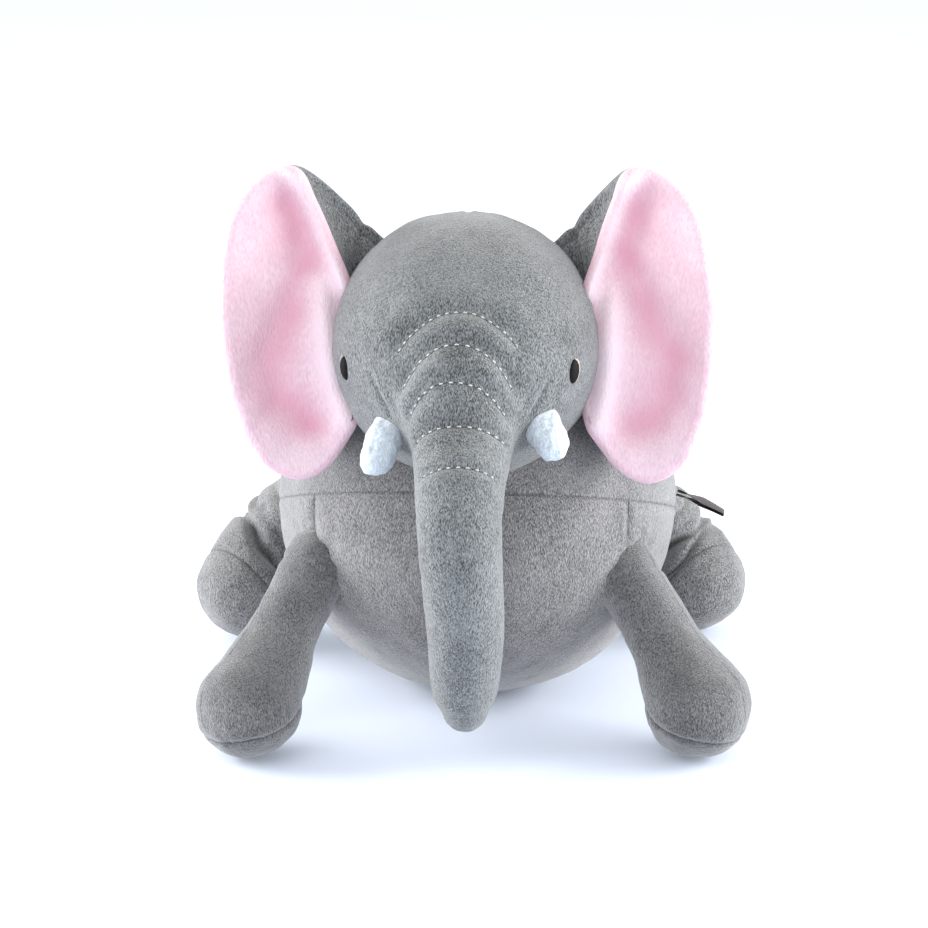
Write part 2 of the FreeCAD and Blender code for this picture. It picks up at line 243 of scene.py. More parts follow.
def closed_rings(rows, around, first=0):
    """The faces of a closed tube: its quads, and one face over each end."""
    last = first + (rows - 1) * around
    ends = [tuple(range(first, first + around))[::-1], tuple(range(last, last + around))]
    return ring_faces(rows, around, first) + ends


DOME_STEPS = np.radians([85, 70, 55, 40, 25, 12])  # latitudes of the rings in a limb's end


def tube(name, points, stations=48, sides=36):
    """A limb's outside: rings along a smooth path of x, y, z, radius, closed by domes."""
    path = spline(points, stations)
    centres, radii = path[:, :3], path[:, 3]
    along = unit_rows(np.gradient(centres, axis=0))
    rows = []
    for a in DOME_STEPS:
        lift = along[0] * radii[0] * math.sin(a)
        rows.append((centres[0] - lift, radii[0] * math.cos(a), along[0]))
    rows += list(zip(centres, radii, along))
    for a in DOME_STEPS[::-1]:
        lift = along[-1] * radii[-1] * math.sin(a)
        rows.append((centres[-1] + lift, radii[-1] * math.cos(a), along[-1]))
    across = unit(np.cross(along[0], (0.3, 0.5, 0.8)))
    turns = np.linspace(0, 2 * np.pi, sides, endpoint=False)
    vertices = []
    for centre, radius, direction in rows:
        across = unit(across - direction * (across @ direction))
        other = np.cross(direction, across)
        ring = np.outer(np.cos(turns), across) + np.outer(np.sin(turns), other)
        vertices.extend(centre + ring * radius)
    return make(name, vertices, closed_rings(len(rows), sides))


def ball(name, centre, radius):
    bm = bmesh.new()
    bmesh.ops.create_icosphere(bm, subdivisions=5, radius=radius * MM)
    bmesh.ops.translate(bm, vec=Vector(centre * MM), verts=bm.verts)
    return from_bmesh(name, bm)


def join(name, objects):
    """One object from several closed ones, which remesh then turns into a single skin."""
    bm = bmesh.new()
    for obj in objects:
        bm.from_mesh(obj.data)
        bpy.data.objects.remove(obj)
    return from_bmesh(name, bm)


def weld(obj):
    """Merges the points that a closed fan's middle ring has in one place."""
    bm = bmesh.new()
    bm.from_mesh(obj.data)
    bmesh.ops.remove_doubles(bm, verts=bm.verts, dist=1e-6)
    bm.to_mesh(obj.data)
    bm.free()


def relax(obj, strength, rounds):
    """Evens out the mesh where strength, one number for each vertex, is above 0."""
    edges = np.empty(len(obj.data.edges) * 2, int)
    obj.data.edges.foreach_get("vertices", edges)
    a, b = edges.reshape(-1, 2).T
    co = read(obj)
    count = np.bincount(a, minlength=len(co)) + np.bincount(b, minlength=len(co))
    share = (np.clip(strength, 0, 1) * 0.6)[:, None]
    for _ in range(rounds):
        total = np.zeros_like(co)
        np.add.at(total, a, co[b])
        np.add.at(total, b, co[a])
        co += share * (total / np.maximum(count, 1)[:, None] - co)
    write(obj, co)


LAST_FRAME = 20


def plump(obj, pressure, cap):
    """Stuffs a closed skin: cloth under pressure, then no point more than cap from its start."""
    scene = bpy.context.scene
    start = read(obj)
    cloth = obj.modifiers.new("Cloth", "CLOTH")
    cloth.settings.use_pressure = True
    cloth.settings.uniform_pressure_force = pressure
    cloth.settings.effector_weights.gravity = 0
    cloth.point_cache.frame_start, cloth.point_cache.frame_end = 1, LAST_FRAME
    for number in range(1, LAST_FRAME + 1):
        scene.frame_set(number)
    graph = bpy.context.evaluated_depsgraph_get()
    swollen = bpy.data.meshes.new_from_object(obj.evaluated_get(graph))
    end = np.empty(len(swollen.vertices) * 3)
    swollen.vertices.foreach_get("co", end)
    move = end.reshape(-1, 3) / MM - start
    far = np.linalg.norm(move, axis=1)[:, None]
    obj.modifiers.clear()
    bpy.data.meshes.remove(swollen)
    scene.frame_set(1)
    write(obj, start + move * np.minimum(1, cap / np.maximum(far, 1e-6)))
    return obj


def panel(source, name, keep, material):
    """One sewn panel: the source skin on the kept side of each seam plane, given its cloth."""
    bm = bmesh.new()
    bm.from_mesh(source.data)
    for point, normal in keep:
        everything = [*bm.verts, *bm.edges, *bm.faces]
        bmesh.ops.bisect_plane(
            bm,
            geom=everything,
            dist=1e-7,
            plane_co=Vector(np.array(point, float) * MM),
            plane_no=Vector(normal),
            clear_inner=True,
        )
    obj = from_bmesh(name, bm)
    if keep:
        co = read(obj)
        dark = np.zeros(len(co))
        if "dark" in obj.data.attributes:
            old = np.empty(len(co), dtype=np.float32)
            obj.data.attributes["dark"].data.foreach_get("value", old)
            dark = old.astype(float)
        # Painted shade: a dark line along each cut seam, where the groove's shade falls.
        for point, normal in keep:
            from_edge = (co - np.array(point, float)) @ np.array(normal, float)
            dark = np.maximum(dark, bump(from_edge, SEAM_SHADE_WIDTH))
        mark(obj, "dark", dark)
        thicken(obj, CLOTH)
    dress(obj, material)
    return obj


def finish_piece(obj, nodes, slot, body=None, blend=None, fill=None):
    """Hides the CAD nodes that a piece stands in for, and parents it to its body's empty, or only
    bakes its transform where it is given a blend.
    """
    if blend:
        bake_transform(obj)
    else:
        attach(obj, body)
    if nodes:
        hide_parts(*nodes)
    return obj


# Painted shade: half width of the dark line laid along a seam, dart or crease.
SEAM_SHADE_WIDTH = 0.75  # half width of the dark line in a seam


def groove(co, normal, distance, depth, width, mask=1.0, puff=0.28, dark=None):
    """Pulls the skin in along a seam and lets it puff a little on both sides. The seam's
    line of painted shade is added to dark, one number for each vertex, where that is given."""
    pull = bump(distance, width) - puff * bump(np.abs(distance) - 2.6 * width, 1.6 * width)
    if dark is not None:
        np.maximum(dark, bump(distance, SEAM_SHADE_WIDTH) * mask, out=dark)
    return co - normal * (depth * pull * mask)[:, None]


def mark(obj, name, values):
    """Keeps one number for each vertex with the mesh, for its material."""
    attribute = obj.data.attributes.get(name) or obj.data.attributes.new(name, "FLOAT", "POINT")
    attribute.data.foreach_set("value", np.array(values, dtype=np.float32))


# ---- materials ----


class Nodes:
    """Short names for building one material's node tree."""

    def __init__(self, name):
        self.material = bpy.data.materials.new(name)
        self.material.use_nodes = True
        self.tree = self.material.node_tree
        self.shader = self.tree.nodes["Principled BSDF"]
        self.place = self.add("ShaderNodeTexCoord").outputs["Object"]

    def add(self, kind, **settings):
        node = self.tree.nodes.new(kind)
        for key, value in settings.items():
            setattr(node, key, value)
        return node

    def link(self, source, target):
        self.tree.links.new(source, target)

    def stretched(self, turn, scale):
        node = self.add("ShaderNodeMapping")
        node.inputs["Rotation"].default_value = [math.radians(a) for a in turn]
        node.inputs["Scale"].default_value = scale
        self.link(self.place, node.inputs["Vector"])
        return node.outputs["Vector"]

    def noise(self, vector, length, detail=2.0, roughness=0.55):
        node = self.add("ShaderNodeTexNoise")
        self.link(vector, node.inputs["Vector"])
        node.inputs["Scale"].default_value = 1 / (length * MM)
        node.inputs["Detail"].default_value = detail
        node.inputs["Roughness"].default_value = roughness
        return node.outputs["Fac"]

    def weighted(self, *terms):
        """The sum of sources times their weights."""
        total = None
        for source, weight in terms:
            node = self.add("ShaderNodeMath", operation="MULTIPLY")
            self.link(source, node.inputs[0])
            node.inputs[1].default_value = weight
            if total is not None:
                extra = self.add("ShaderNodeMath", operation="ADD")
                self.link(total, extra.inputs[0])
                self.link(node.outputs[0], extra.inputs[1])
                node = extra
            total = node.outputs[0]
        return total

    def ramp(self, factor, *stops):
        node = self.add("ShaderNodeValToRGB")
        self.link(factor, node.inputs["Fac"])
        elements = node.color_ramp.elements
        while len(elements) < len(stops):
            elements.new(0.5)
        for element, (position, colour) in zip(elements, stops):
            element.position, element.color = position, (*colour, 1)
        return node.outputs["Color"]

    def relief(self, height, distance, strength=1.0):
        node = self.add("ShaderNodeBump")
        node.inputs["Distance"].default_value = distance * MM
        node.inputs["Strength"].default_value = strength
        self.link(height, node.inputs["Height"])
        self.link(node.outputs["Normal"], self.shader.inputs["Normal"])

    def tinted(self, colour, attribute, full, tone, start=0.0):
        """Turns the colour towards tone as the mesh's own numbers go from start to full."""
        numbers = self.add("ShaderNodeAttribute", attribute_name=attribute)
        share = self.add("ShaderNodeMapRange")
        share.inputs["From Min"].default_value, share.inputs["From Max"].default_value = start, full
        self.link(numbers.outputs["Fac"], share.inputs["Value"])
        mix = self.add("ShaderNodeMix", data_type="RGBA")
        self.link(share.outputs["Result"], mix.inputs["Factor"])
        self.link(colour, mix.inputs[6])
        mix.inputs[7].default_value = (*tone, 1)
        return mix.outputs[2]

    def finish(self, colour, **sockets):
        self.link(colour, self.shader.inputs["Base Color"])
        for name, value in sockets.items():
            self.shader.inputs[name.replace("_", " ")].default_value = value
        return self.material

    def rough(self, factor, low, high):
        node = self.add("ShaderNodeMapRange")
        node.inputs["To Min"].default_value, node.inputs["To Max"].default_value = low, high
        self.link(factor, node.inputs["Value"])
        self.link(node.outputs["Result"], self.shader.inputs["Roughness"])


def plush(name, dark, light, pile=0.42, nap=(20, 35, 0), depth=0.68, **look):
    """Brushed pile: slanting fibre clumps, dark roots between them and broad brushed patches.
    pile is the width of a fibre and depth its relief, in millimetres, and nap its slant in
    degrees. hollow is the colour of painted shade in an ear's hollow, where the mesh's hollow
    numbers are above 0; where they are below 0, the pale pink of painted sheen is laid on."""
    tint, sheen, hollow = look.get("tint", (1, 1, 1)), look.get("sheen", 0.72), look.get("hollow")
    n = Nodes(name)
    lie = n.stretched(nap, (1.0, 1.0, 0.36))
    fibres = n.noise(lie, pile, detail=1.5, roughness=0.5)
    clumps = n.noise(lie, pile * 2.6, detail=1.0)
    patches = n.noise(n.place, 24.0, detail=2.0)
    tone = n.weighted((fibres, 0.7), (clumps, 0.12), (patches, 0.18))
    colour = n.ramp(tone, (0.37, dark), (0.63, light))
    if hollow:
        # Painted shade in an ear's hollow and painted sheen on its fold and rim, from the mesh's
        # hollow numbers.
        colour = n.tinted(colour, "hollow", 1.0, hollow)
        colour = n.tinted(colour, "hollow", -1.0, PINK_PAINTED_SHEEN)
    # Painted shade: darker where the mesh's dark numbers mark seams, darts, creases and folds.
    colour = n.tinted(colour, "dark", 1.4, [c * 0.35 for c in dark], start=0.4)
    n.relief(n.weighted((fibres, 0.9), (clumps, 0.35)), depth)
    n.rough(fibres, 0.8, 1.0)
    return n.finish(
        colour,
        Sheen_Weight=sheen,
        Sheen_Roughness=0.42,
        Sheen_Tint=(*tint, 1),
        Specular_IOR_Level=0.15,
    )


def thread(name, dark, light, length=0.35, sheen=0.15, gloss=0.4):
    """Twisted or satin-stitched thread."""
    n = Nodes(name)
    lie = n.stretched((0, 0, 25), (1.0, 1.0, 0.3))
    strands = n.noise(lie, length, detail=2.0)
    n.relief(strands, 0.12)
    n.rough(strands, 0.45, 0.7)
    colour = n.ramp(strands, (0.35, dark), (0.65, light))
    return n.finish(colour, Sheen_Weight=sheen, Specular_IOR_Level=gloss)


def ribbon_material():
    n = Nodes("brown_ribbon")
    weave = n.add("ShaderNodeTexWave", bands_direction="Y")
    n.link(n.place, weave.inputs["Vector"])
    weave.inputs["Scale"].default_value = 900.0
    weave.inputs["Distortion"].default_value = 1.5
    n.relief(weave.outputs["Fac"], 0.08)
    n.rough(weave.outputs["Fac"], 0.35, 0.55)
    colour = n.ramp(weave.outputs["Fac"], (0.2, (0.018, 0.013, 0.011)), (0.8, (0.05, 0.037, 0.03)))
    return n.finish(colour, Sheen_Weight=0.05, Specular_IOR_Level=0.2)


# Painted sheen on the ear's fold and rolled rim; it also pales the lower tip.
PINK_PAINTED_SHEEN = (0.71, 0.585, 0.64)
GREY = plush("grey_plush", (0.038, 0.041, 0.042), (0.24, 0.254, 0.259), nap=(15, 40, 0), sheen=0.5)
BELLY_GREY = plush("belly_plush", (0.065, 0.064, 0.066), (0.275, 0.27, 0.274), nap=(-20, 42, 0))
HIND_GREY = plush(
    "hind_leg_plush", (0.055, 0.055, 0.057), (0.275, 0.275, 0.278), nap=(20, 30, 0), sheen=0.5
)
LEG_GREY = plush("leg_plush", (0.035, 0.036, 0.038), (0.19, 0.19, 0.194), nap=(10, -32, 0))
PINK = plush(
    "pink_plush",
    (0.635, 0.435, 0.50),
    (0.715, 0.54, 0.60),
    pile=0.8,
    nap=(0, 8, 0),
    depth=0.45,
    sheen=0.35,
    tint=(1.0, 0.87, 0.93),
    # the painted shade of the ear's hollow
    hollow=(0.6, 0.31, 0.395),
)
WHITE = plush(
    "white_plush", (0.40, 0.455, 0.51), (0.60, 0.665, 0.73), pile=0.6, depth=0.35, sheen=0.3
)
BLACK_THREAD = thread(
    "black_embroidery", (0.002, 0.002, 0.002), (0.008, 0.008, 0.009), sheen=0, gloss=0.12
)
PALE_THREAD = thread("pale_thread", (0.34, 0.36, 0.37), (0.6, 0.62, 0.63))
# Painted shade in the stitch line, between the topstitches.
STITCH_SHADE = thread("stitch_channel_shade", (0.01, 0.01, 0.011), (0.035, 0.036, 0.038))
CREAM_THREAD = thread("cream_embroidery", (0.3, 0.28, 0.22), (0.5, 0.47, 0.4))
RIBBON = ribbon_material()

# ---- belly ball ----


def chest_plane():
    """A point and upward normal of the chest seam's plane."""
    normal = np.array([0, math.sin(CHEST_SEAM_TILT), math.cos(CHEST_SEAM_TILT)])
    return np.array([0, 0, CHEST_SEAM_HEIGHT]), normal


def build_body():
    skin = remesh(ball("body_skin", BALL, BALL_RADIUS - 0.8), voxel=5.0)
    plump(skin, pressure=3.0, cap=1.2)
    refine(skin, levels=2)
    co, normal = read(skin), normals(skin)
    point, upward = chest_plane()
    chest = (co - point) @ upward
    below = ease((-chest - 0.5) / 2)
    co = groove(co, normal, chest, 0.6, 0.9)
    for sign in (-1, 1):
        co = groove(co, normal, co[:, 0] - sign * SIDE_SEAM, 0.75, 0.9, below)
    inside = ease((SIDE_SEAM - np.abs(co[:, 0])) / 3)
    co = groove(co, normal, co[:, 1] - SEAT_SEAM, 0.9, 1.1, below * inside)
    above = ease((chest - 0.5) / 2)
    behind = ease((co[:, 1] - NECK_SEAM) / 3)
    co = groove(co, normal, co[:, 1] - NECK_SEAM, 0.9, 1.1, above)
    co = groove(co, normal, co[:, 0], 0.9, 1.1, above * behind)
    co = co + normal * (0.35 * lumps(co, 22, 3) + 0.1 * lumps(co, 6, 4))[:, None]
    # Slack radiating from where each front leg pulls at the side seam.
    for side, _ in SIDES:
        root = joint_place(f"front_leg_{side}_swing")
        away = np.linalg.norm(co - root, axis=1)
        pull = bump(away - 13, 7)
        turn = np.arctan2(co[:, 2] - root[2], np.hypot(*(co - root)[:, :2].T))
        co = co - normal * (0.45 * pull * np.cos(9 * turn))[:, None]
    co[:, 2] = np.maximum(co[:, 2], 0.0)
    write(skin, co)
    down = -upward
    left, right = ((-SIDE_SEAM, 0, 0), (-1, 0, 0)), ((SIDE_SEAM, 0, 0), (1, 0, 0))
    not_left, not_right = ((-SIDE_SEAM, 0, 0), (1, 0, 0)), ((SIDE_SEAM, 0, 0), (-1, 0, 0))
    rear, fore = ((0, NECK_SEAM, 0), (0, 1, 0)), ((0, NECK_SEAM, 0), (0, -1, 0))
    seat, belly = ((0, SEAT_SEAM, 0), (0, 1, 0)), ((0, SEAT_SEAM, 0), (0, -1, 0))
    upper, lower = (point, upward), (point, down)
    cuts = {
        "neck_panel": ([upper, fore], BELLY_GREY),
        "back_panel_left": ([upper, rear, ((0, 0, 0), (-1, 0, 0))], GREY),
        "back_panel_right": ([upper, rear, ((0, 0, 0), (1, 0, 0))], GREY),
        "belly_panel": ([lower, not_left, not_right, belly], BELLY_GREY),
        "seat_panel": ([lower, not_left, not_right, seat], GREY),
        "side_panel_left": ([lower, left], BELLY_GREY),
        "side_panel_right": ([lower, right], BELLY_GREY),
    }
    for name, (keep, material) in cuts.items():
        piece = panel(skin, f"{name}_cloth", keep, material)
        nodes = [name, "body_filling"] if name == "neck_panel" else [name]
        finish_piece(piece, nodes, "grey_plush", body="torso", fill=0.9)
    bpy.data.objects.remove(skin)


# ---- head and trunk ----

# The middle line of the brow's ridge and the trunk, from the trunk's hinge: x, y, z, radius.
TRUNK_LINE = (
    (-1.0, 13.0, 44.0, 19.0),
    (-1.0, 3.5, 30.0, 24.0),
    (-1.2, -1.0, 17.0, 25.6),
    (-1.0, -5.5, 5.0, 24.4),
    (0.0, -15.5, -7.0, 20.2),
    (0.0, -27.5, -19.5, 17.8),
    (0.5, -32.5, -36.0, 16.8),
    (1.4, -29.5, -63.0, 16.1),
    (1.8, -24.5, -86.0, 15.2),
    (1.8, -20.5, -106.0, 13.4),
    (1.8, -19.5, -113.5, 10.2),
)
# Which way the trunk leaves the head, and a head-to-trunk blend span from 42 mm to 70 mm
# out from the head's middle. A piece given it only has its transform baked.
TRUNK_WAY = unit((0, -0.72, -0.69))
TRUNK_BLEND = ("head", "trunk", (HEAD + 42 * TRUNK_WAY) * MM, (HEAD + 70 * TRUNK_WAY) * MM)
# Each topstitch row: the middle of its arc, which way the trunk runs there, how many
# degrees it reaches to each side, and its stitches.
ROWS = (
    ((-5.3, -95.5, 163.0), (0, -1.0, 0.0), 65, 17),
    ((-3.0, -98.5, 153.0), (0, -0.985, -0.174), 72, 15),
    ((-2.4, -100.5, 144.0), (0, -0.94, -0.342), 71, 14),
    ((-1.2, -102.5, 134.0), (0, -0.84, -0.545), 67, 11),
    ((-1.0, -113.0, 124.0), (0, -0.80, -0.60), 60, 9),
)


def row_distance(co, row):
    centre, axis, _, _ = row
    return (co - np.array(centre)) @ unit(axis)


def row_up(axis):
    """The direction of a row's highest point, square to the way the trunk runs there."""
    up = unit(np.cross((1, 0, 0), axis))
    return up if up[2] > 0 else -up


def build_head():
    points = [(*(TRUNK_ROOT + line[:3]), line[3] - 0.4) for line in TRUNK_LINE]
    forms = [
        ball("head_form", HEAD, HEAD_RADIUS - 0.8),
        tube("trunk_form", points),
    ]
    skin = remesh(join("head_skin", forms), voxel=3.6)
    co = read(skin)
    # Ease the crease where the trunk leaves the face.
    near = bump(np.linalg.norm(co - (TRUNK_ROOT + (0, -12, 4)), axis=1), 30)
    relax(skin, near, rounds=4)
    plump(skin, pressure=3.0, cap=1.6)
    refine(skin, levels=2)
    co, normal = read(skin), normals(skin)
    dark = np.zeros(len(co))
    for row in ROWS:
        centre, axis, reach, _ = row
        arm = co - np.array(centre)
        arm = arm - np.outer(arm @ unit(axis), unit(axis))
        turn = np.degrees(np.arctan2(np.abs(arm[:, 0]), arm @ row_up(axis)))
        mask = ease((reach + 9 - turn) / 14) * (np.linalg.norm(arm, axis=1) < 45)
        co = groove(co, normal, row_distance(co, row), 1.1, 1.7, mask, puff=0.5)
    for _, sign in SIDES:
        co = cheek_dart(co, normal, sign, dark)
    front = ease((EAR_SEAM + 2 - co[:, 1]) / 2)
    co = groove(co, normal, co[:, 1] - EAR_SEAM, 0.5, 1.0)
    co = groove(co, normal, co[:, 0] - HEAD[0], 0.7, 1.0, 1 - front)
    co = co + normal * (0.3 * lumps(co, 18, 11) + 0.1 * lumps(co, 5, 12))[:, None]
    write(skin, co)
    # Painted shade along the cheek darts.
    mark(skin, "dark", dark)
    surface = surface_of(skin)
    face_nodes = ["face_panel", "chin_panel", "head_filling", "trunk_top_panel"]
    face_nodes += ["trunk_underside_panel", "trunk_filling"]
    face = panel(skin, "face_and_trunk_cloth", [((0, EAR_SEAM, 0), (0, -1, 0))], GREY)
    finish_piece(face, face_nodes, "grey_plush", blend=TRUNK_BLEND, fill=0.9)
    for side, sign in SIDES:
        keep = [((0, EAR_SEAM, 0), (0, 1, 0)), ((HEAD[0], 0, 0), (sign, 0, 0))]
        back = panel(skin, f"head_back_{side}_cloth", keep, GREY)
        finish_piece(back, [f"head_back_panel_{side}"], "grey_plush", body="head", fill=0.9)
    bpy.data.objects.remove(skin)
    return surface


def cheek_dart(co, normal, sign, dark):
    """The short dart that runs from in front of the eye down to the tusk."""
    top = HEAD + HEAD_RADIUS * unit((sign * 0.66, -0.74, 0.06))
    foot = HEAD + HEAD_RADIUS * unit((sign * 0.5, -0.82, -0.27))
    run = foot - top
    share = np.clip((co - top) @ run / (run @ run), 0, 1)
    away = np.linalg.norm(co - top - np.outer(share, run), axis=1)
    # The dart's groove, with a line of painted shade along it.
    return groove(co, normal, away, 0.9, 1.1, 0.35 + 0.65 * share, dark=dark)


def surface_of(obj):
    """A search tree over the finished skin, in millimetres."""
    polygons = [tuple(p.vertices) for p in obj.data.polygons]
    return BVHTree.FromPolygons([Vector(v) for v in read(obj)], polygons)


def on_surface(surface, start, direction):
    """Where a ray from inside the skin comes out, and the skin's normal there."""
    hit, normal, _, _ = surface.ray_cast(Vector(start), Vector(direction))
    return np.array(hit), np.array(normal)


def arc_points(surface, row, count):
    """Points of the skin along a topstitch row, from one end to the other."""
    centre, axis, reach, _ = row
    up = row_up(unit(axis))
    found = []
    for angle in np.radians(np.linspace(-reach, reach, count)):
        spoke = up * math.cos(angle) + np.array([1.0, 0, 0]) * math.sin(angle)
        found.append(on_surface(surface, centre, spoke))
    return [p for p, _ in found], [n for _, n in found]


def even_points(points, outward, count):
    """The same line in equal steps."""
    p, n = np.array(points), np.array(outward)
    length = np.concatenate([[0], np.cumsum(np.linalg.norm(np.diff(p, axis=0), axis=1))])
    at = np.linspace(0, length[-1], count)
    steps = np.stack([np.interp(at, length, p[:, k]) for k in range(3)], axis=1)
    spokes = np.stack([np.interp(at, length, n[:, k]) for k in range(3)], axis=1)
    return steps, unit_rows(spokes)


THREAD_RADIUS = 0.31
SHADE_STRAND_RADIUS = 0.75 * THREAD_RADIUS


def strand(vertices, faces, path, radius, sides=8):
    """Adds a thin closed thread along path to a mesh's lists."""
    first = len(vertices)
    along = np.gradient(path, axis=0)
    across = unit(np.cross(along[0], (0.31, 0.52, 0.79)))
    turns = np.linspace(0, 2 * np.pi, sides, endpoint=False)
    widths = radius * np.sqrt(np.clip(1 - np.linspace(-0.96, 0.96, len(path)) ** 6, 0.05, 1))
    for centre, direction, width in zip(path, along, widths):
        direction = unit(direction)
        across = unit(across - direction * (across @ direction))
        other = np.cross(direction, across)
        for turn in turns:
            vertices.append(centre + width * (across * math.cos(turn) + other * math.sin(turn)))
    faces.extend(closed_rings(len(path), sides, first))


def build_topstitching(surface):
    """Pale stitches, row by row, with thin dark strands of painted shade between them where
    the cloth is pinched into the stitch line. Ten steps of the row's line go to each stitch."""
    groups = {"forehead": ROWS[:3], "trunk": ROWS[3:]}
    for group, rows in groups.items():
        stitches, shade_strands = ([], []), ([], [])
        for row in rows:
            points, outward = even_points(*arc_points(surface, row, 61), row[3] * 10 + 1)
            for index in range(row[3]):
                part = slice(index * 10 + 3, index * 10 + 8)
                lift = 0.1 + 0.25 * np.sin(np.linspace(0, np.pi, 5))
                strand(*stitches, points[part] + outward[part] * lift[:, None], THREAD_RADIUS)
                # Painted shade: a dark strand sunk into the stitch line between two stitches.
                shade_part = slice(max(0, index * 10 - 3), index * 10 + 4)
                strand(*shade_strands, points[shade_part] - outward[shade_part] * 0.05, SHADE_STRAND_RADIUS)
        for name, lists, material in (
            (f"{group}_stitches", stitches, PALE_THREAD),
            (f"{group}_stitch_shade_strands", shade_strands, STITCH_SHADE),
        ):
            obj = make(name, *lists)
            dress(obj, material)
            nodes = [f"{group}_topstitching"] if name.endswith("stitches") else []
            finish_piece(obj, nodes, "pale_thread", blend=TRUNK_BLEND)


EYE_DIRECTION = {"left": (-0.865, -0.49, -0.04), "right": (0.815, -0.58, -0.005)}


def oval(surface, name, middle, width, height, rise, material, shift=0.0, ridges=0.0):
    """A domed oval of satin stitches that lies on the skin."""
    outward = unit(middle)
    upright = unit(np.array([0, 0, 1]) - outward * outward[2])
    across = np.cross(upright, outward)
    rings, sides = 10, 40
    vertices = []
    for ring in range(rings + 1):
        share = ring / rings
        for side in range(sides):
            turn = 2 * np.pi * side / sides
            right = width * share * math.cos(turn) + shift
            high = height * share * math.sin(turn)
            aim = outward * HEAD_RADIUS + across * right + upright * high
            place, normal = on_surface(surface, HEAD, unit(aim))
            dome = rise * math.sqrt(max(0.0, 1 - share**2)) - 0.35 * share**4
            fine = ridges * math.sin(high * 9.0) * (1 - share)
            vertices.append(place + normal * (dome + fine))
    faces = []
    for ring in range(rings):
        for side in range(sides):
            a, b = ring * sides + side, ring * sides + (side + 1) % sides
            faces.append((a, b, b + sides, a + sides) if ring else (a, b + sides, a + sides))
    obj = make(name, vertices, faces)
    weld(obj)
    thicken(obj, 0.5)
    dress(obj, material)
    return obj


def build_eyes(surface):
    for side, sign in SIDES:
        middle = np.array(EYE_DIRECTION[side])
        eye = oval(surface, f"eye_{side}_thread", middle, 2.6, 4.7, 0.75, BLACK_THREAD, ridges=0.05)
        finish_piece(eye, [f"eye_{side}"], "black_embroidery", body="head")
        rim = oval(
            surface, f"eye_{side}_rim", middle, 2.5, 4.8, 0.35, CREAM_THREAD, shift=sign * 0.85
        )
        finish_piece(rim, [], "black_embroidery", body="head")


TUSK_LINES = {
    "left": ((-26.5, -80.0, 146.0, 4.0), (-28.5, -85.0, 141.5, 6.0), (-31.5, -91.5, 135.5, 7.3),
             (-34.0, -96.5, 130.0, 6.5)),
    "right": ((25.0, -76.5, 150.5, 4.0), (26.8, -81.5, 146.8, 6.2), (29.8, -87.5, 141.0, 7.5),
              (33.3, -93.5, 136.5, 6.8)),
}


def build_tusks():
    for side, _ in SIDES:
        skin = remesh(tube(f"tusk_{side}_skin", TUSK_LINES[side], stations=20), voxel=1.6)
        plump(skin, pressure=2.0, cap=0.5)
        refine(skin, levels=1)
        co, normal = read(skin), normals(skin)
        line = np.array(TUSK_LINES[side])
        run = unit(line[2, :3] - line[0, :3])
        seam = (co - line[1, :3]) @ unit(np.cross(run, (0, 0, 1)))
        co = groove(co, normal, seam, 0.25, 0.7)
        co = co + normal * (0.22 * lumps(co, 5, 31) + 0.16 * lumps(co, 1.8, 32))[:, None]
        write(skin, co)
        piece = panel(skin, f"tusk_{side}_plush", [], WHITE)
        nodes = [f"tusk_{side}_cover", f"tusk_{side}_filling"]
        finish_piece(piece, nodes, "white_plush", body="head", fill=0.8)
        bpy.data.objects.remove(skin)


# ---- ears ----

EAR_TILT, EAR_YAW = math.radians(14.0), math.radians(14.0)
EAR_ROLL = {"left": 0.0, "right": math.radians(6.4)}
EAR_CUP = 60.0  # radius of the cupped face
EAR_MIDDLE = {"left": (-71.5, -54.0, 171.0), "right": (69.5, -52.0, 172.0)}
# The rim, from the top round the outer edge: outward and upward from the ear's middle.
EAR_RIM = (
    (-3.5, 58.0), (8.0, 54.0), (17.0, 43.5), (22.5, 27.0), (24.6, 6.0),
    (23.4, -16.0), (19.2, -35.0), (12.0, -50.5), (0.5, -58.2), (-8.5, -56.0),
    (-16.5, -47.0), (-22.5, -34.0), (-25.0, -12.0), (-22.0, 10.0), (-16.0, 29.0),
    (-9.5, 47.0),
)
# Lines over the pink face, outward and upward: the hollow and the fold beside the head.
HOLLOW_LINE = ((-3, 46), (-5, 40), (-8, 30), (-7, 17), (1, 2), (10, -14), (6, -29), (-5, -39))
FOLD_LINE = ((-12, 14), (-12.5, 2), (-13.5, -12), (-15.5, -26), (-19, -38))
RIM_LINE = ((-4.5, 60), (-10, 48), (-16.5, 30), (-22, 14))
# Both ends of the slit where an ear's back meets the head, as directions from its middle.
ROOT_TOP = (0.61, 0.38, 0.70)
ROOT_FOOT = {"left": (0.865, 0.12, -0.475), "right": (0.84, 0.14, -0.53)}


def ear_axes(side, sign):
    """Outward, up and forward directions of an ear's own frame."""
    outward = np.array([sign * math.cos(EAR_YAW), -math.sin(EAR_YAW), 0.0])
    flat = np.cross((0, 0, 1), outward) * sign
    back = flat if flat[1] > 0 else -flat
    up = math.cos(EAR_TILT) * np.array([0, 0, 1.0]) + math.sin(EAR_TILT) * back
    roll = EAR_ROLL[side]
    up = unit(up * math.cos(roll) - outward * math.sin(roll))
    outward = unit(outward - up * (outward @ up))
    forward = np.cross(outward, up)
    return outward, up, forward if forward[1] < 0 else -forward


def line_distance(u, v, line):
    """How far points of the ear's face are from a line drawn on it."""
    nearest = np.full(len(u), 1e9)
    for (u0, v0), (u1, v1) in zip(line, line[1:]):
        run_u, run_v = u1 - u0, v1 - v0
        share = np.clip(((u - u0) * run_u + (v - v0) * run_v) / (run_u**2 + run_v**2), 0, 1)
        away = np.hypot(u - u0 - share * run_u, v - v0 - share * run_v)
        nearest = np.minimum(nearest, away)
    return nearest


